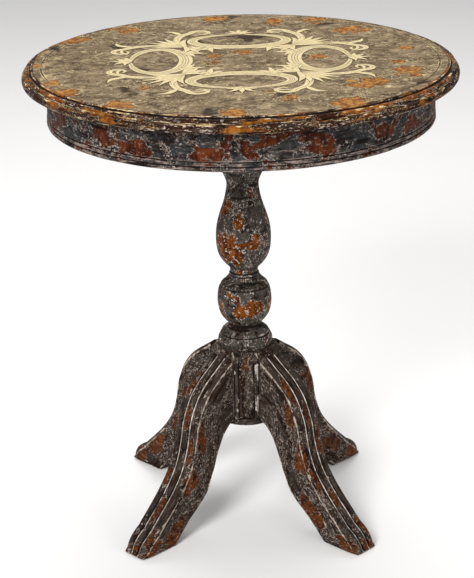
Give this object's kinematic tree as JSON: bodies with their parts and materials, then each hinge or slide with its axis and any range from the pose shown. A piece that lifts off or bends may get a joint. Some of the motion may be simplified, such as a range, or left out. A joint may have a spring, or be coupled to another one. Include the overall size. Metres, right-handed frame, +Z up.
{
  "type": "tilt-top pedestal table",
  "caption": "Round tilt-top table with a frieze band, on a turned pillar and splayed reeded legs; the top tilts upright on a hinged block.",
  "frame": {"origin": "on the floor, under the pillar's axis and the centre of the top", "axes": "+Z up the pillar; -Y is the front, towards which the raised top shows its face; the tilt line runs along X"},
  "size_m": [0.6599, 0.66, 0.745],
  "materials": {
    "painted_top": "hand-painted taupe over stained wood, rubbed through, with cream scrollwork, satin wax",
    "painted_frieze": "slate grey paint over red-brown stain, chipped and dry-brushed",
    "painted_column": "grey-brown paint, chipped to orange-brown wood, wax in the hollows",
    "painted_legs": "dark grey-brown paint, light worn lines along the reeds",
    "bare_wood": "planed hardwood, oiled",
    "aged_brass": "aged brass, satin",
    "screw_steel": "plain steel screws"
  },
  "bodies": {
    "base": {"pillar": "painted_column", "pillar_wedges": "bare_wood", "leg_hub": "painted_legs", "leg_front_right": "painted_legs", "leg_back_right": "painted_legs", "leg_back_left": "painted_legs", "leg_front_left": "painted_legs", "leg_dowels": "bare_wood", "hub_cap": "painted_legs", "hub_cap_screws": "screw_steel", "tilt_block": "bare_wood", "pivot_pins": "aged_brass", "keeper_plate": "aged_brass", "keeper_screws": "aged_brass"},
    "top": {"top_board": "painted_top", "frieze_band": "painted_frieze", "frieze_glue_blocks": "bare_wood", "bearer_left": "bare_wood", "bearer_right": "bare_wood", "bearer_screws": "screw_steel", "pivot_bushes": "aged_brass", "catch_plate": "aged_brass", "catch_screws": "aged_brass"},
    "catch": {"catch_bolt": "aged_brass", "catch_knob": "aged_brass"}
  },
  "joints": [
    {"name": "top_tilt", "type": "hinge", "parent": "base", "child": "top", "pos_m": [0, -0.105, 0.709], "axis": [1, 0, 0], "range_deg": [0, 90]},
    {"name": "catch_slide", "type": "slide", "parent": "top", "child": "catch", "axis": [0, -1, 0], "range_m": [0, 0.016]}
  ]
}
